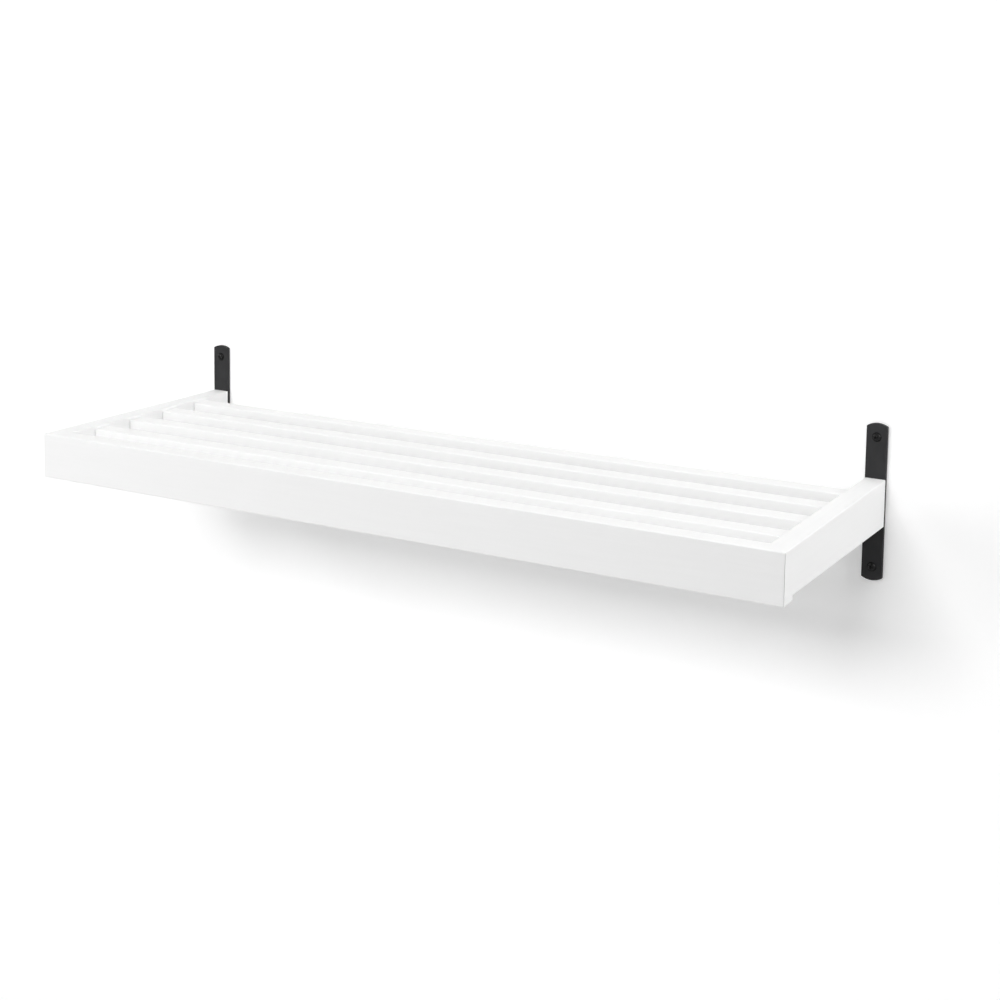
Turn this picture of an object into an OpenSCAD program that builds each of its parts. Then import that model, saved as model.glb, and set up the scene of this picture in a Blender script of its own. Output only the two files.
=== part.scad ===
// Slatted wall shoe rack: a white lacquered frame with four slats, held by two black steel straps.
// The origin is the middle of the four wall screws, on the wall plane.
// X runs along the wall, -Y comes out of the wall towards the room, and +Z is up. Millimetres.

/* [Frame] */
// Width over the outer faces of the two arms
frame_w = 790; // [500:10:1200]
// Depth from the wall to the face of the front board
frame_d = 277; // [240:1:360]
// Height of the front board, and of each arm where it meets its strap
board_h = 45; // [40:1:60]
// Thickness of the front board
front_t = 20; // [16:0.5:24]
// Thickness of each arm
arm_t = 20; // [16:0.5:24]
// How far each arm's underside is cut up just behind the front board
arm_step = 4.5; // [1:0.5:8]
// Radius of the eased long edges of the front board and arms
board_r = 1; // [0.5:0.25:3]
// Width that the fine V-groove at each mitre's outer corner takes off either board
mitre_groove_w = 0.5; // [0.2:0.1:1]
// Depth of that V-groove, square to the boards' outer faces
mitre_groove_depth = 2; // [0.8:0.1:3]
// Size of the small arris taken off at the arms' rear ends
arris = 0.6; // [0.3:0.1:1.2]

/* [Slats] */
// Width of each slat, front to back
slat_w = 21; // [16:1:26]
// Thickness of each slat, top to bottom
slat_t = 18; // [15:1:26]
// How far the slats' tops lie below the top of the frame
slat_drop = 3; // [0:0.5:6]
// Open gap between the front board and the first slat
front_gap = 33; // [15:1:60]
// Open gap between the last slat and the wall
wall_gap = 44; // [30:1:70]
// Radius of the eased edges of the slats
slat_r = 1; // [0.5:0.25:3]

/* [Straps] */
// Width of the flat steel strap
strap_w = 20; // [16:1:30]
// Thickness of the strap
strap_t = 4; // [3.5:0.5:6]
// Overall length of the strap, over its arc ends
strap_l = 150; // [125:5:200]
// Radius of the arc at each end of the strap
strap_end_r = 18; // [15:1:40]
// Radius of the eased long edges of the strap
strap_r = 0.6; // [0.3:0.1:1.2]
// Distance from each end of the strap to the centre of its wall screw
screw_inset = 13; // [10:1:20]

/* [Wall screws] */
// Diameter of the shank and of the thread's crests
wall_screw_d = 4.5; // [3.5:0.5:6]
// Length under the head
wall_screw_l = 50; // [40:5:80]
// Length of the threaded stretch, with its tip
wall_thread_l = 32; // [20:2:34]
// Length of the pointed tip
wall_tip_l = 7; // [5:0.5:9]
// Pitch of the thread
wall_thread_pitch = 2; // [1.6:0.1:2.6]
// Depth of the thread
wall_thread_depth = 0.6; // [0.4:0.1:0.8]
// Diameter of the round head
wall_head_d = 9; // [8:0.5:12]
// Height of the round head
wall_head_h = 3.2; // [2.8:0.1:4]
// Span of the cross recess in the head
cross_w = 4.8; // [4:0.2:5.6]
// Width of one slot of the cross recess
cross_slot = 1.1; // [0.8:0.1:1.4]
// Depth of the cross recess
cross_depth = 2.2; // [1.6:0.1:2.4]

/* [Strap screws and inserts] */
// Diameter of the countersunk screws that hold each strap to its arm
arm_screw_d = 5; // [4:0.5:6]
// Length of these screws, head included
arm_screw_l = 20; // [18:1:26]
// Diameter of their countersunk heads
arm_head_d = 9.6; // [9:0.2:11]
// Straight rim of the countersunk head
arm_head_rim = 0.3; // [0.2:0.1:0.5]
// Width across flats of the hexagonal socket
arm_socket = 3; // [2.5:0.5:4]
// Depth of the hexagonal socket
arm_socket_depth = 2; // [1.5:0.1:2.4]
// Distance between the two screws of one arm
arm_screw_spacing = 22; // [16:1:26]
// Outer diameter of the threaded insert
insert_d = 8; // [7.5:0.5:10]
// Length of the threaded insert
insert_l = 13; // [10:1:15]
// Number of grooves round the insert
insert_grooves = 3; // [2:1:4]
// Depth of the grooves round the insert
insert_groove = 0.5; // [0.3:0.1:0.7]

/* [Dowels and splines] */
// Diameter of the slat dowels
dowel_d = 8; // [6:1:10]
// Length of the slat dowels
dowel_l = 30; // [24:1:40]
// Length of each dowel that sits in the arm
dowel_in_arm = 10; // [8:0.5:12]
// Chamfer at the ends of the dowels
dowel_chamfer = 0.8; // [0.4:0.1:1.2]
// Width of the loose tongue across each mitre
spline_w = 16; // [12:1:18]
// Thickness of the loose tongue
spline_t = 4; // [3:0.5:5]
// Length of the loose tongue, up and down
spline_l = 30; // [20:1:34]
// Wood left between the tongue's corner and the outer faces
spline_cover = 3.7; // [2:0.1:4]

/* [Fits] */
// Play round a wall screw in its strap hole, on the diameter
wall_hole_play = 0.6; // [0.4:0.1:1.5]
// Play round a strap screw in its strap hole, on the diameter
arm_hole_play = 0.4; // [0.2:0.1:0.8]
// How far a countersunk head lies below the strap's back
head_sink = 0.1; // [0.05:0.05:0.3]
// Play between a countersunk head and its seat
seat_play = 0.05; // [0.02:0.01:0.15]
// Play between a strap screw and the thread of its insert, on the diameter
thread_play = 0.1; // [0.05:0.05:0.3]
// Glue play round a dowel, insert or tongue, on its diameter or thickness
glue_play = 0.1; // [0.05:0.05:0.3]
// Spare depth past the end of a dowel or tongue
end_play = 0.5; // [0.2:0.1:1]

/* [Hidden] */
$fn = 64;

// Right and left are mirror images of each other in X
RIGHT = 1;
LEFT = -1;
slat_count = 4;
// Overshoot of a cutter past the face that it opens
cut = 1;

lacquer = [0.95, 0.95, 0.94];
black_steel = [0.13, 0.13, 0.14];
black_screw = [0.08, 0.08, 0.08];
zinc_steel = [0.72, 0.72, 0.70];
brass = [0.78, 0.62, 0.32];
beech = [0.80, 0.64, 0.45];

// Frame
frame_top = board_h / 2;
arm_x = frame_w / 2 - arm_t / 2;
inner_w = frame_w - 2 * arm_t;
front_back_y = -frame_d + front_t;
arm_rear_y = -strap_t;
arm_run = arm_rear_y - front_back_y;
// Bottom of the V-groove, on the mitre line
mitre_root = [frame_w / 2 - mitre_groove_depth, -frame_d + mitre_groove_depth * front_t / arm_t];

// Slats, evenly pitched between the front gap and the wall gap
slat_first_y = front_back_y + front_gap + slat_w / 2;
slat_last_y = -wall_gap - slat_w / 2;
slat_pitch = (slat_last_y - slat_first_y) / (slat_count - 1);
slat_z = frame_top - slat_drop - slat_t / 2;

// Screw pattern on the wall
wall_hole_z = strap_l / 2 - screw_inset;
strap_end_rise = strap_end_r - sqrt(pow(strap_end_r, 2) - pow(strap_w / 2, 2));

// Bores that the dowels and inserts sit in
dowel_bore_d = dowel_d + glue_play;
dowel_in_slat = dowel_l - dowel_in_arm;
insert_bore_d = insert_d + glue_play;
insert_bore_l = max(insert_l, arm_screw_l - strap_t) + end_play;

// The tongue crosses the mitre squarely. Its centre lies on the mitre, at this share of the way from
// the outer to the inner corner, and half way up the arm where the underside is cut up.
spline_turn = atan2(arm_t, front_t);
spline_share = max(
    (spline_cover + spline_w / 2 * cos(spline_turn) + spline_t / 2 * sin(spline_turn)) / arm_t,
    (spline_cover + spline_w / 2 * sin(spline_turn) + spline_t / 2 * cos(spline_turn)) / front_t
);
spline_z = arm_step / 2;

function slat_y(number) = slat_first_y + (number - 1) * slat_pitch;

// A rectangle with round corners, centred, made of squares and circles so that its arcs stay true
module eased_rect(w, h, r) {
    square([w - 2 * r, h], center = true);
    square([w, h - 2 * r], center = true);
    for (x = [-1, 1], y = [-1, 1])
        translate([x * (w / 2 - r), y * (h / 2 - r)])
            circle(r);
}

// A bar along X with eased long edges, centred
module bar_x(length, w, h, r) {
    rotate([90, 0, 90])
        linear_extrude(length, center = true)
            eased_rect(w, h, r);
}

// A bar along Y with eased long edges, centred
module bar_y(length, w, h, r) {
    rotate([90, 0, 0])
        linear_extrude(length, center = true)
            eased_rect(w, h, r);
}

// A prism over a plan outline, taller than the frame
module plan_prism(points) {
    linear_extrude(2 * board_h, center = true)
        polygon(points);
}

// A cylinder along X, starting at x = 0
module rod_x(length, d) {
    rotate([0, 90, 0])
        cylinder(h = length, d = d);
}

// A cylinder along +Y, starting at y = 0
module rod_y(length, d) {
    rotate([-90, 0, 0])
        cylinder(h = length, d = d);
}

// The tongue's place in the mitre on one side, turned square to the mitre
module at_mitre(side) {
    translate([side * (frame_w / 2 - spline_share * arm_t), -frame_d + spline_share * front_t, spline_z])
        rotate([0, 0, side * spline_turn])
            children();
}

// Slot for the tongue, cut into the front board and the arm alike
module spline_slot(side) {
    at_mitre(side)
        cube([spline_w + 2 * end_play, spline_t + glue_play, spline_l + end_play], center = true);
}

// The front board, mitred along the line from the outer to the inner corner
module front_board() {
    half = frame_w / 2;
    outline = [
        [-half + mitre_groove_w, -frame_d],
        [half - mitre_groove_w, -frame_d],
        mitre_root,
        [half - arm_t, front_back_y],
        [-half + arm_t, front_back_y],
        [-mitre_root.x, mitre_root.y]
    ];
    color(lacquer)
        difference() {
            intersection() {
                translate([0, -frame_d + front_t / 2, 0])
                    bar_x(frame_w + 2 * cut, front_t, board_h, board_r);
                plan_prism(outline);
            }
            spline_slot(LEFT);
            spline_slot(RIGHT);
        }
}

// The right arm before its bores. The tip is as high as the front board, and behind it the
// underside starts one step higher and falls back to full height at the strap.
module arm_blank() {
    intersection() {
        union() {
            translate([arm_x, -frame_d + front_t / 2, 0])
                bar_y(front_t, arm_t, board_h, board_r);
            intersection() {
                translate([arm_x, front_back_y + arm_run / 2, -board_h / 2])
                    bar_y(arm_run, arm_t, 2 * board_h, board_r);
                translate([arm_x, arm_rear_y, -board_h / 2])
                    rotate([-atan(arm_step / arm_run), 0, 0])
                        translate([0, -arm_run / 2, board_h])
                            bar_y(2 * arm_run, arm_t, 2 * board_h, board_r);
            }
        }
        plan_prism([
            [frame_w / 2, -frame_d + mitre_groove_w],
            mitre_root,
            [frame_w / 2 - arm_t, front_back_y],
            [frame_w / 2 - arm_t, arm_rear_y - arris],
            [frame_w / 2 - arm_t + arris, arm_rear_y],
            [frame_w / 2 - arris, arm_rear_y],
            [frame_w / 2, arm_rear_y - arris]
        ]);
    }
}

// The right arm, with bores for the dowels and inserts and its half of the tongue's slot
module right_arm_bored() {
    difference() {
        arm_blank();
        for (number = [1 : slat_count])
            translate([frame_w / 2 - arm_t - cut, slat_y(number), slat_z])
                rod_x(cut + dowel_in_arm + end_play, dowel_bore_d);
        for (z = [-1, 1] * arm_screw_spacing / 2)
            translate([arm_x, arm_rear_y - insert_bore_l, z])
                rod_y(insert_bore_l + cut, insert_bore_d);
        spline_slot(RIGHT);
    }
}

module arm(side) {
    color(lacquer)
        if (side == LEFT)
            mirror([1, 0, 0]) right_arm_bored();
        else
            right_arm_bored();
}

// One slat, eased on every edge, with a dowel bore in each end
module slat(number) {
    color(lacquer)
        translate([0, slat_y(number), slat_z])
            difference() {
                intersection() {
                    bar_x(inner_w, slat_w, slat_t, slat_r);
                    linear_extrude(2 * slat_t, center = true)
                        eased_rect(inner_w, slat_w, slat_r);
                    rotate([90, 0, 0])
                        linear_extrude(2 * slat_w, center = true)
                            eased_rect(inner_w, slat_t, slat_r);
                }
                for (turn = [0, 180])
                    rotate([0, 0, turn])
                        translate([inner_w / 2 - dowel_in_slat - end_play, 0, 0])
                            rod_x(dowel_in_slat + end_play + cut, dowel_bore_d);
            }
}

// Face of the strap: a bar with an arc at each end
module strap_outline() {
    intersection() {
        square([strap_w, strap_l], center = true);
        union() {
            square([strap_w, strap_l - 2 * strap_end_rise], center = true);
            for (end = [-1, 1])
                translate([0, end * (strap_l / 2 - strap_end_r)])
                    circle(strap_end_r, $fn = 128);
        }
    }
}

module strap(side) {
    head_seat_d = arm_head_d + 2 * seat_play;
    hole_d = arm_screw_d + arm_hole_play;
    rim = arm_head_rim + head_sink;
    color(black_steel)
        translate([side * arm_x, 0, 0])
            difference() {
                intersection() {
                    translate([0, -strap_t / 2, 0])
                        rotate([90, 0, 0])
                            linear_extrude(strap_t, center = true)
                                strap_outline();
                    translate([0, -strap_t / 2, 0])
                        linear_extrude(strap_l, center = true)
                            eased_rect(strap_w, strap_t, strap_r);
                }
                for (z = [-1, 1] * wall_hole_z)
                    translate([0, -strap_t - cut, z])
                        rod_y(strap_t + 2 * cut, wall_screw_d + wall_hole_play);
                for (z = [-1, 1] * arm_screw_spacing / 2)
                    translate([0, 0, z]) {
                        translate([0, -strap_t - cut, 0])
                            rod_y(strap_t + 2 * cut, hole_d);
                        translate([0, -rim, 0])
                            rod_y(rim + cut, head_seat_d);
                        translate([0, -rim, 0])
                            rotate([90, 0, 0])
                                cylinder(h = (head_seat_d - hole_d) / 2, d1 = head_seat_d, d2 = hole_d);
                    }
            }
}

// Half section of a wall screw's shank, thread and tip, with its axis along the second coordinate
// and the head's underside at zero. Inside the strap the shank flares towards the head, by half of
// the play in the strap's hole. The thread is drawn as rings.
function wall_screw_section() =
    let (r = wall_screw_d / 2,
        neck = r + wall_hole_play / 4,
        core = r - wall_thread_depth,
        smooth = wall_screw_l - wall_thread_l,
        rings = floor((wall_thread_l - wall_tip_l) / wall_thread_pitch))
    concat(
        [[0, 0], [neck, 0], [r, strap_t], [r, smooth]],
        [for (i = [0 : rings - 1], half = [0, 1])
            [half == 0 ? core : r, smooth + wall_thread_pitch * (i + (half + 1) / 2)]],
        [[core, smooth + wall_thread_pitch * (rings + 0.5)], [0, wall_screw_l]]
    );

// A round-head wood screw along +Y, with its head seated on the strap's front face
module wall_screw() {
    dome_r = (pow(wall_head_d / 2, 2) + pow(wall_head_h, 2)) / (2 * wall_head_h);
    translate([0, -strap_t, 0])
        rotate([-90, 0, 0]) {
            rotate_extrude()
                polygon(wall_screw_section());
            difference() {
                intersection() {
                    translate([0, 0, dome_r - wall_head_h])
                        sphere(dome_r);
                    translate([0, 0, -wall_head_h - cut])
                        cylinder(h = wall_head_h + cut, d = wall_head_d + 2 * cut);
                }
                intersection() {
                    translate([0, 0, -wall_head_h - cut])
                        cylinder(h = cross_depth + cut, d1 = cross_w + cut, d2 = cross_slot);
                    for (turn = [0, 90])
                        rotate([0, 0, turn])
                            cube([2 * cross_w, cross_slot, 4 * wall_head_h], center = true);
                }
            }
        }
}

module wall_screws(side) {
    color(black_screw)
        for (z = [-1, 1] * wall_hole_z)
            translate([side * arm_x, 0, z])
                wall_screw();
}

// A countersunk machine screw along -Y, with its head just below the strap's back face
module strap_screw() {
    cone_h = (arm_head_d - arm_screw_d) / 2;
    translate([0, -head_sink, 0])
        rotate([90, 0, 0])
            difference() {
                union() {
                    cylinder(h = arm_head_rim, d = arm_head_d);
                    translate([0, 0, arm_head_rim])
                        cylinder(h = cone_h, d1 = arm_head_d, d2 = arm_screw_d);
                    cylinder(h = arm_screw_l - head_sink, d = arm_screw_d);
                }
                translate([0, 0, -cut])
                    cylinder(h = arm_socket_depth + cut, d = arm_socket / cos(30), $fn = 6);
            }
}

module strap_screws(side) {
    color(zinc_steel)
        for (z = [-1, 1] * arm_screw_spacing / 2)
            translate([side * arm_x, 0, z])
                strap_screw();
}

// A threaded insert along -Y, flush with the rear end of the arm. Its outer thread is drawn as grooves.
module threaded_insert() {
    outer = insert_d / 2;
    groove_w = insert_l / (2 * insert_grooves + 1);
    bore = (arm_screw_d + thread_play) / 2;
    translate([0, arm_rear_y, 0])
        rotate([90, 0, 0])
            rotate_extrude()
                difference() {
                    translate([bore, 0])
                        square([outer - bore, insert_l]);
                    for (groove = [1 : insert_grooves])
                        translate([outer - insert_groove, (2 * groove - 1) * groove_w])
                            square([insert_groove + cut, groove_w]);
                }
}

module inserts(side) {
    color(brass)
        for (z = [-1, 1] * arm_screw_spacing / 2)
            translate([side * arm_x, 0, z])
                threaded_insert();
}

// A dowel along X, centred, with chamfered ends
module dowel() {
    r = dowel_d / 2;
    rotate([0, 90, 0])
        translate([0, 0, -dowel_l / 2])
            rotate_extrude()
                polygon([
                    [0, 0],
                    [r - dowel_chamfer, 0],
                    [r, dowel_chamfer],
                    [r, dowel_l - dowel_chamfer],
                    [r - dowel_chamfer, dowel_l],
                    [0, dowel_l]
                ]);
}

module slat_dowels(side) {
    centre_x = inner_w / 2 + dowel_in_arm - dowel_l / 2;
    color(beech)
        for (number = [1 : slat_count])
            translate([side * centre_x, slat_y(number), slat_z])
                dowel();
}

// The loose tongue stands on the bottom of its slot
module corner_spline(side) {
    color(beech)
        translate([0, 0, -end_play / 2])
            at_mitre(side)
                cube([spline_w, spline_t, spline_l], center = true);
}

front_board();
arm(LEFT);  // left_arm
arm(RIGHT);  // right_arm
slat(1);  // slat_1
slat(2);  // slat_2
slat(3);  // slat_3
slat(4);  // slat_4
strap(LEFT);  // left_strap
strap(RIGHT);  // right_strap
wall_screws(LEFT);  // left_wall_screws
wall_screws(RIGHT);  // right_wall_screws
strap_screws(LEFT);  // left_strap_screws
strap_screws(RIGHT);  // right_strap_screws
inserts(LEFT);  // left_inserts
inserts(RIGHT);  // right_inserts
slat_dowels(LEFT);  // left_slat_dowels
slat_dowels(RIGHT);  // right_slat_dowels
corner_spline(LEFT);  // left_corner_spline
corner_spline(RIGHT);  // right_corner_spline
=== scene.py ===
import math

import bmesh
import bpy
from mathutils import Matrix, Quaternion, Vector


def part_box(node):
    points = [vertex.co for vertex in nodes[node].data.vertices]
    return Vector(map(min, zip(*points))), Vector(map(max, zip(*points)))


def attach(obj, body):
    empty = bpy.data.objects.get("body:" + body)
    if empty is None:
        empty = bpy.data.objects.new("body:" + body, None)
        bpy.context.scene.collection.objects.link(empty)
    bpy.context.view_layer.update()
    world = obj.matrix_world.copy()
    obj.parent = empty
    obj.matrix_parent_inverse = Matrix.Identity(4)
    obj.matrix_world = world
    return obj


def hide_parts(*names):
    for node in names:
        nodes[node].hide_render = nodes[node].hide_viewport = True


MM = 0.001
SIDES = ("left", "right")

# Camera: place, point it looks at, roll, lens and film width in millimetres. The shift keeps the
# uprights nearly parallel.
CAMERA_AT = Vector((0.8248, -1.5188, 0.4073))
CAMERA_AIM = Vector((0.0213, -0.0762, 0.2196))
CAMERA_ROLL = math.radians(0.77)
CAMERA_LENS = 60.6
CAMERA_FILM = 36
CAMERA_SHIFT_Y = -0.25

# Lamps, aimed at the middle of the shelf: degrees to the right of straight in front, degrees up,
# distance, width, height and watts
LAMP_AIM = Vector((0, -0.15, 0))
LAMPS = {
    "front_lamp": (-2, 27, 6.4, 2.8, 1.5, 214),
    "near_left_lamp": (-30, 10, 1.8, 0.9, 0.9, 9.6),
    "side_left_lamp": (-80, 35, 3.2, 0.5, 0.5, 13),
    "low_right_lamp": (85, 22, 3.2, 0.9, 0.9, 25),
    "high_right_lamp": (95, 35, 3.2, 1.8, 1.8, 52),
    "top_right_lamp": (90, 60, 1.3, 0.6, 0.6, 0.8),
}

# Strength of the white surround as a light
SURROUND = 0.04

# Darkest and lightest colour of each finish, and the beech's flecks
LACQUER_WHITES = (0.892, 0.892, 0.890), (0.912, 0.912, 0.911)
COAT_BLACKS = (0.028, 0.028, 0.029), (0.034, 0.034, 0.035)
OXIDE_BLACKS = (0.004, 0.004, 0.004), (0.009, 0.009, 0.009)
ZINC_CASTS = (0.58, 0.61, 0.64), (0.68, 0.65, 0.57)
BRASS_TONES = (0.62, 0.43, 0.18), (0.80, 0.60, 0.28)
BEECH_TONES = (0.50, 0.31, 0.17), (0.66, 0.45, 0.27)
BEECH_FLECK = (0.36, 0.20, 0.10)

# Most of a noise pattern lies between these values
NOISE_LOW = 0.3
NOISE_HIGH = 0.7

# Grain: how many times longer than wide its marks are, and its share in the lacquer's tone
BOARD_GRAIN_LENGTH = 25
BEECH_GRAIN_LENGTH = 20
GRAIN_SHARE = 0.6

# Each board's pattern starts this much further on, and those of the arms start from a place of their own
GRAIN_STEP = 3.7
ARM_GRAIN_START = 30

# Scales along X, Y and Z that make turning marks round the axis of a screw or an insert
SCREW_TURNING = (1, 12, 1)
INSERT_TURNING = (0.1, 1, 0.1)

# Places of the factor, the two colours and the result among the sockets of a colour mix
MIX_FACTOR = 0
MIX_FIRST = 6
MIX_SECOND = 7
MIX_RESULT = 2

# Backdrop: a wall just behind the straps, open behind each strap, and a floor that throws little
# light back. A glow, which lights nothing, brings each to white. Less light falls on the wall low
# down, so its glow grows from WALL_GLOW_Z down to WALL_LOW_GLOW_Z.
WALL_COLOUR = 0.9
WALL_GLOW = 0.22
WALL_LOW_GLOW = 0.31
WALL_GLOW_Z = -0.1
WALL_LOW_GLOW_Z = -0.55
FLOOR_COLOUR = 0.45
FLOOR_GLOW = 0.65
WALL_GAP = 0.25 * MM
WALL_HALF_WIDTH = 4
WALL_TOP = 3
FLOOR_Z = -1.1
FLOOR_DEPTH = 5

# The openings stay inside the outline of the straps, and further in at their rounded ends
OPENING_INSET = 1.5 * MM
OPENING_END_INSET = 4.5 * MM

# Wall screws, as the CAD has them, and the shape of their thread, whose half base is a share of the
# pitch
SCREW_SEAT_Y = -4 * MM
SCREW_SHANK_R = 2.25 * MM
SCREW_CORE_R = 1.65 * MM
SCREW_SMOOTH_Y = 14 * MM
SCREW_TAPER_Y = 39 * MM
SCREW_END_Y = 46 * MM
THREAD_PITCH = 2 * MM
THREAD_HALF_BASE = 0.24
RINGS_PER_TURN = 8

# Points of a mesh this near are one, those this far past the seat belong to the shank, and edges
# that turn by more than the sharp angle stay sharp
MERGE_DISTANCE = 0.001 * MM
SEAT_MARGIN = 0.01 * MM
SHARP_ANGLE = math.radians(32)

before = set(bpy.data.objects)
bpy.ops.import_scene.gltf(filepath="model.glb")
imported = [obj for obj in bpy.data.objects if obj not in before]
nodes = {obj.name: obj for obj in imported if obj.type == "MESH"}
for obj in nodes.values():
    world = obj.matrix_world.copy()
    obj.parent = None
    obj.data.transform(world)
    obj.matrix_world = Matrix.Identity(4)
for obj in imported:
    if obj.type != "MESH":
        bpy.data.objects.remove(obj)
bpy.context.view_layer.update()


class Graph:
    """Adds nodes to one shader tree."""

    def __init__(self, tree):
        self.tree = tree

    def add(self, kind, inputs=None, **settings):
        """A new node. An input takes a value, or an output socket that is linked to it."""
        node = self.tree.nodes.new(kind)
        for key, value in settings.items():
            setattr(node, key, value)
        for key, value in (inputs or {}).items():
            self.put(node.inputs[key], value)
        return node

    def put(self, socket, value):
        """Sets or links one input socket."""
        if isinstance(value, bpy.types.NodeSocket):
            self.tree.links.new(value, socket)
        else:
            socket.default_value = value

    def combine(self, operation, first, second):
        """The result of an operation on two values."""
        return self.add("ShaderNodeMath", {0: first, 1: second}, operation=operation).outputs[0]

    def spread(self, value, low=0, high=1, start=NOISE_LOW, end=NOISE_HIGH):
        """A value between start and end, spread over low to high."""
        inputs = {"Value": value, "From Min": start, "From Max": end, "To Min": low, "To Max": high}
        return self.add("ShaderNodeMapRange", inputs).outputs["Result"]

    def seen_directly(self):
        """1 for rays from the camera, a reflection or through glass, and 0 for rays that light things."""
        rays = self.add("ShaderNodeLightPath").outputs
        seen = rays["Is Camera Ray"]
        for name in ("Is Glossy Ray", "Is Transmission Ray"):
            seen = self.combine("MAXIMUM", seen, rays[name])
        return seen


class Finish(Graph):
    """The nodes of one new material, with its shader and the coordinates of the piece it is on."""

    def __init__(self, name):
        self.material = bpy.data.materials.new(name)
        self.material.use_nodes = True
        super().__init__(self.material.node_tree)
        self.shader = self.tree.nodes["Principled BSDF"]
        self.coords = self.add("ShaderNodeTexCoord").outputs["Object"]

    def stretched(self, scale, offset=0):
        """The piece's coordinates, scaled along each axis and moved by the offset along all three."""
        inputs = {"Vector": self.coords, "Scale": scale, "Location": (offset, offset, offset)}
        return self.add("ShaderNodeMapping", inputs).outputs["Vector"]

    def noise(self, vector, scale, detail, roughness=0.5):
        """A noise value around 0.5."""
        inputs = {"Vector": vector, "Scale": scale, "Detail": detail, "Roughness": roughness}
        return self.add("ShaderNodeTexNoise", inputs).outputs["Fac"]

    def blend(self, factor, first, second):
        """A colour between two, of which each is an output socket or red, green and blue."""
        node = self.add("ShaderNodeMix", {MIX_FACTOR: factor}, data_type="RGBA")
        for place, colour in ((MIX_FIRST, first), (MIX_SECOND, second)):
            linked = isinstance(colour, bpy.types.NodeSocket)
            self.put(node.inputs[place], colour if linked else (*colour, 1))
        return node.outputs[MIX_RESULT]

    def bump(self, pattern, height, under=None):
        """A bump as high as a pattern times a height in metres, laid over another bump if one is given."""
        inputs = {"Height": pattern, "Distance": height}
        if under:
            inputs["Normal"] = under
        return self.add("ShaderNodeBump", inputs).outputs["Normal"]

    def dress(self, **inputs):
        """Fills the shader's sockets, named with _ for a space, and returns the material."""
        for name, value in inputs.items():
            self.put(self.shader.inputs[name.replace("_", " ")], value)
        return self.material


def along_grain(axis, length):
    """Scales along X, Y and Z that make a pattern's marks so many times longer along one axis."""
    return tuple(1 / length if name == axis else 1 for name in "XYZ")


def lacquered_wood(name, axis, offset):
    """White satin lacquer: roller texture over a long faint grain that runs along one axis."""
    finish = Finish(name)
    lengthened = finish.stretched(along_grain(axis, BOARD_GRAIN_LENGTH), offset)
    grain = finish.noise(lengthened, scale=420, detail=3, roughness=0.55)
    roller = finish.noise(finish.coords, scale=900, detail=2)
    cloud = finish.noise(finish.stretched((1, 1, 1), offset), scale=9, detail=1)
    grain_part = finish.combine("MULTIPLY", grain, GRAIN_SHARE)
    cloud_part = finish.combine("MULTIPLY", cloud, 1 - GRAIN_SHARE)
    tone = finish.combine("ADD", grain_part, cloud_part)
    return finish.dress(
        Base_Color=finish.blend(finish.spread(tone), *LACQUER_WHITES),
        Roughness=finish.spread(roller, low=0.58, high=0.70),
        Normal=finish.bump(roller, height=0.012 * MM, under=finish.bump(grain, height=0.02 * MM)),
        IOR=1.5,
        Specular_IOR_Level=0.12,
    )


def powder_coat():
    """Black powder coat with a fine texture."""
    finish = Finish("powder_coat")
    fine = finish.noise(finish.coords, scale=2600, detail=3, roughness=0.6)
    cloud = finish.noise(finish.coords, scale=60, detail=2)
    return finish.dress(
        Base_Color=finish.blend(finish.spread(cloud), *COAT_BLACKS),
        Roughness=finish.spread(fine, low=0.42, high=0.60),
        Normal=finish.bump(fine, height=0.03 * MM),
        IOR=1.5,
        Specular_IOR_Level=0.1,
    )


def black_oxide():
    """Blackened screw steel, smoother than the straps, with slightly greyer patches."""
    finish = Finish("black_oxide")
    patch = finish.noise(finish.coords, scale=700, detail=3, roughness=0.6)
    turned = finish.noise(finish.stretched(SCREW_TURNING), scale=900, detail=1)
    return finish.dress(
        Base_Color=finish.blend(finish.spread(patch), *OXIDE_BLACKS),
        Roughness=finish.spread(patch, low=0.18, high=0.26),
        Normal=finish.bump(turned, height=0.01 * MM),
        Specular_IOR_Level=0.15,
    )


def zinc_plate():
    """Bright zinc plate on the countersunk screws, with a faint blue and yellow cast."""
    finish = Finish("zinc_plate")
    cast = finish.noise(finish.coords, scale=260, detail=2)
    mottle = finish.noise(finish.coords, scale=1900, detail=3, roughness=0.6)
    return finish.dress(
        Base_Color=finish.blend(finish.spread(cast), *ZINC_CASTS),
        Roughness=finish.spread(mottle, low=0.22, high=0.38),
        Normal=finish.bump(mottle, height=0.008 * MM),
        Metallic=1,
    )


def turned_brass():
    """Turned brass with fine rings round the Y axis of the inserts."""
    finish = Finish("turned_brass")
    rings = finish.noise(finish.stretched(INSERT_TURNING), scale=6000, detail=2)
    tarnish = finish.noise(finish.coords, scale=300, detail=3)
    return finish.dress(
        Base_Color=finish.blend(finish.spread(tarnish), *BRASS_TONES),
        Roughness=finish.spread(rings, low=0.25, high=0.42),
        Normal=finish.bump(rings, height=0.01 * MM),
        Metallic=1,
    )


def bare_beech(name, axis):
    """Bare beech with grain along one axis and short darker flecks."""
    finish = Finish(name)
    lengthened = finish.stretched(along_grain(axis, BEECH_GRAIN_LENGTH))
    grain = finish.noise(lengthened, scale=1500, detail=4, roughness=0.6)
    flecks = finish.noise(lengthened, scale=2700, detail=1)
    wood = finish.blend(finish.spread(grain), *BEECH_TONES)
    return finish.dress(
        Base_Color=finish.blend(finish.spread(flecks, high=0.5, start=0.62, end=0.72), wood, BEECH_FLECK),
        Roughness=finish.spread(grain, low=0.55, high=0.7),
        Normal=finish.bump(grain, height=0.03 * MM),
    )


def set_material(piece, material):
    """Gives the whole piece one material."""
    piece.data.materials.clear()
    piece.data.materials.append(material)


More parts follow.
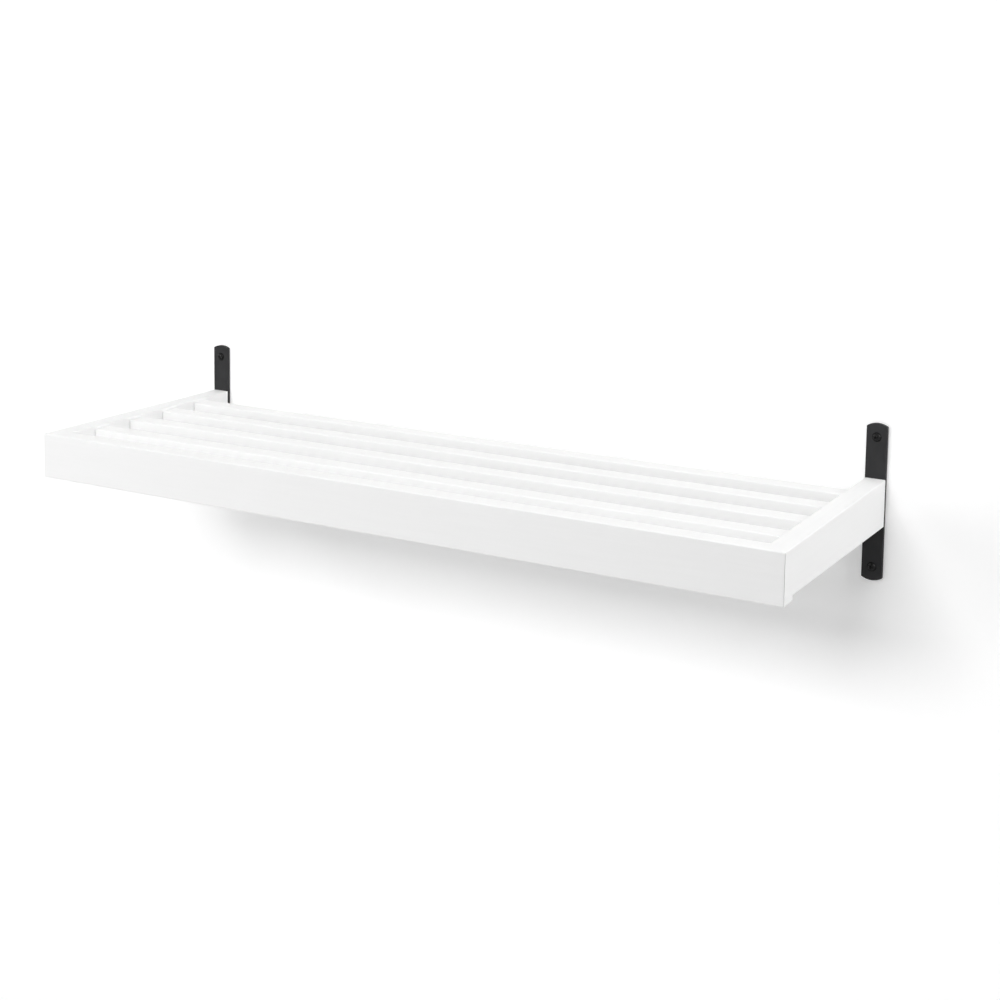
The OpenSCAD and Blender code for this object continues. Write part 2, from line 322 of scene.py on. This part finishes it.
def dress_nodes():
    """Gives every CAD node that stays its finish."""
    for number, name in enumerate(("front_board", "slat_1", "slat_2", "slat_3", "slat_4")):
        set_material(nodes[name], lacquered_wood(f"lacquer_{name}", "X", GRAIN_STEP * number))
    for number, name in enumerate(("left_arm", "right_arm")):
        start = ARM_GRAIN_START + GRAIN_STEP * number
        set_material(nodes[name], lacquered_wood(f"lacquer_{name}", "Y", start))
    finishes = {
        "strap": powder_coat(),
        "strap_screws": zinc_plate(),
        "inserts": turned_brass(),
        "slat_dowels": bare_beech("beech_dowels", "X"),
        "corner_spline": bare_beech("beech_splines", "Z"),
    }
    for side in SIDES:
        for part, material in finishes.items():
            set_material(nodes[f"{side}_{part}"], material)


def backdrop_white(name, colour, glow, low_glow):
    """White that keeps the object's shadow in front, and that nothing sees from behind."""
    finish = Finish(name)
    height = finish.add("ShaderNodeSeparateXYZ", {"Vector": finish.coords}).outputs["Z"]
    glow_here = finish.spread(height, low=low_glow, high=glow, start=WALL_LOW_GLOW_Z, end=WALL_GLOW_Z)
    material = finish.dress(
        Base_Color=(colour, colour, colour, 1),
        Roughness=1,
        Specular_IOR_Level=0,
        Emission_Color=(1, 1, 1, 1),
        Emission_Strength=finish.combine("MULTIPLY", finish.seen_directly(), glow_here),
    )
    behind = finish.add("ShaderNodeNewGeometry").outputs["Backfacing"]
    clear = finish.add("ShaderNodeBsdfTransparent").outputs[0]
    both = finish.add("ShaderNodeMixShader", {0: behind, 1: finish.shader.outputs[0], 2: clear})
    finish.put(finish.tree.nodes["Material Output"].inputs["Surface"], both.outputs[0])
    return material


def make_sheet(name, place, across, along, openings, material):
    """A flat stage sheet of the cells between the cuts, but for the openings."""
    built = bmesh.new()
    points = [[built.verts.new(place(u, v)) for v in along] for u in across]
    for i in range(len(across) - 1):
        for j in range(len(along) - 1):
            if (i, j) not in openings:
                built.faces.new((points[i][j], points[i + 1][j], points[i + 1][j + 1], points[i][j + 1]))
    mesh = bpy.data.meshes.new(name)
    built.to_mesh(mesh)
    built.free()
    mesh.materials.append(material)
    sheet = bpy.data.objects.new(name, mesh)
    bpy.context.scene.collection.objects.link(sheet)


def make_backdrop():
    """A wall that faces the room, open behind the straps so that their backs are lit, and a floor."""
    low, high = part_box("right_strap")
    inner = low[0] + OPENING_INSET
    outer = high[0] - OPENING_INSET
    top = high[2] - OPENING_END_INSET
    half = WALL_HALF_WIDTH
    white = backdrop_white("white_wall", WALL_COLOUR, WALL_GLOW, WALL_LOW_GLOW)
    cuts = (-half, -outer, -inner, inner, outer, half), (FLOOR_Z, -top, top, WALL_TOP)
    behind_straps = {(1, 1), (3, 1)}
    make_sheet("wall", lambda u, v: (u, WALL_GAP, v), *cuts, behind_straps, white)
    pale = backdrop_white("pale_floor", FLOOR_COLOUR, FLOOR_GLOW, FLOOR_GLOW)
    cuts = (-half, half), (-FLOOR_DEPTH, FLOOR_DEPTH)
    make_sheet("floor", lambda u, v: (u, v, FLOOR_Z), *cuts, set(), pale)


def make_lamp(name, turn, rise, distance, width, height, power):
    """A rectangular area lamp at its bearing from the shelf, pointed at the shelf."""
    turn, rise = math.radians(turn), math.radians(rise)
    way = Vector((math.sin(turn) * math.cos(rise), -math.cos(turn) * math.cos(rise), math.sin(rise)))
    data = bpy.data.lights.new(name, "AREA")
    data.shape = "RECTANGLE"
    data.size = width
    data.size_y = height
    data.energy = power
    lamp = bpy.data.objects.new(name, data)
    bpy.context.scene.collection.objects.link(lamp)
    lamp.location = LAMP_AIM + way * distance
    lamp.rotation_mode = "QUATERNION"
    lamp.rotation_quaternion = way.to_track_quat("Z", "Y")


def make_world():
    """An even white surround, weak as a light and plain white where it is seen."""
    world = bpy.data.worlds.new("studio")
    bpy.context.scene.world = world
    world.use_nodes = True
    graph = Graph(world.node_tree)
    background = graph.tree.nodes["Background"]
    background.inputs["Color"].default_value = (1, 1, 1, 1)
    strength = graph.spread(graph.seen_directly(), low=SURROUND, high=1, start=0, end=1)
    graph.put(background.inputs["Strength"], strength)


def make_camera():
    """The camera at the photograph's viewing angle."""
    data = bpy.data.cameras.new("camera")
    data.lens = CAMERA_LENS
    data.sensor_width = CAMERA_FILM
    data.shift_y = CAMERA_SHIFT_Y
    camera = bpy.data.objects.new("camera", data)
    bpy.context.scene.collection.objects.link(camera)
    camera.location = CAMERA_AT
    camera.rotation_mode = "QUATERNION"
    turn = (CAMERA_AIM - CAMERA_AT).to_track_quat("-Z", "Y")
    camera.rotation_quaternion = turn @ Quaternion((0, 0, 1), CAMERA_ROLL)
    bpy.context.scene.camera = camera


def bearing(vertex, middle):
    """Angle of a vertex round a screw's axis."""
    return math.atan2(vertex.co.z - middle.z, vertex.co.x - middle.x)


def shank_radius(y, angle):
    """Radius of the threaded shank at a place along it and an angle round it."""
    begun = min(max((y - SCREW_SMOOTH_Y) / THREAD_PITCH, 0), 1)
    taper = min((SCREW_END_Y - y) / (SCREW_END_Y - SCREW_TAPER_Y), 1)
    core = SCREW_SHANK_R + (SCREW_CORE_R - SCREW_SHANK_R) * begun
    phase = (y / THREAD_PITCH - angle / math.tau) % 1
    crest = max(0, 1 - abs(phase - 0.5) / THREAD_HALF_BASE)
    return taper * (core + (SCREW_SHANK_R - core) * crest)


def add_shank(built, rim, middle):
    """Carries a head's open rim on as a closed shank with a thread and a point."""
    angles = [bearing(vertex, middle) for vertex in rim]
    step = THREAD_PITCH / RINGS_PER_TURN
    rings = round((SCREW_END_Y - SCREW_SMOOTH_Y) / step)
    ring = rim
    for y in [0] + [SCREW_SMOOTH_Y + step * i for i in range(rings)]:
        following = []
        for angle in angles:
            radius = shank_radius(y, angle)
            place = (middle.x + radius * math.cos(angle), y, middle.z + radius * math.sin(angle))
            following.append(built.verts.new(place))
        for i in range(len(ring)):
            built.faces.new((ring[i - 1], ring[i], following[i], following[i - 1]))
        ring = following
    point = built.verts.new((middle.x, SCREW_END_Y, middle.z))
    for i in range(len(ring)):
        built.faces.new((ring[i - 1], ring[i], point))


def make_wall_screws(side, material):
    """Both wall screws of one side: the CAD's heads on shanks with a true helical thread."""
    node = nodes[f"{side}_wall_screws"]
    built = bmesh.new()
    built.from_mesh(node.data)
    bmesh.ops.remove_doubles(built, verts=built.verts, dist=MERGE_DISTANCE)
    shank = [v for v in built.verts if v.co.y > SCREW_SEAT_Y + SEAT_MARGIN]
    bmesh.ops.delete(built, geom=shank, context="VERTS")
    rims = dict.fromkeys(v for edge in built.edges if edge.is_boundary for v in edge.verts)
    for upper in (False, True):
        rim = [v for v in rims if (v.co.z > 0) == upper]
        middle = sum((v.co for v in rim), Vector()) / len(rim)
        rim.sort(key=lambda v: bearing(v, middle))
        add_shank(built, rim, middle)
    bmesh.ops.recalc_face_normals(built, faces=built.faces)
    mesh = bpy.data.meshes.new(f"{side}_threaded_screws")
    built.to_mesh(mesh)
    built.free()
    mesh.polygons.foreach_set("use_smooth", [True] * len(mesh.polygons))
    mesh.set_sharp_from_angle(angle=SHARP_ANGLE)
    mesh.materials.append(material)
    screws = bpy.data.objects.new(mesh.name, mesh)
    bpy.context.scene.collection.objects.link(screws)
    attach(screws, "root")
    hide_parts(node.name)


make_camera()
dress_nodes()
screw_black = black_oxide()
for side in SIDES:
    make_wall_screws(side, screw_black)
make_backdrop()
for name, lamp in LAMPS.items():
    make_lamp(name, *lamp)
make_world()
bpy.context.scene.view_settings.view_transform = "Standard"
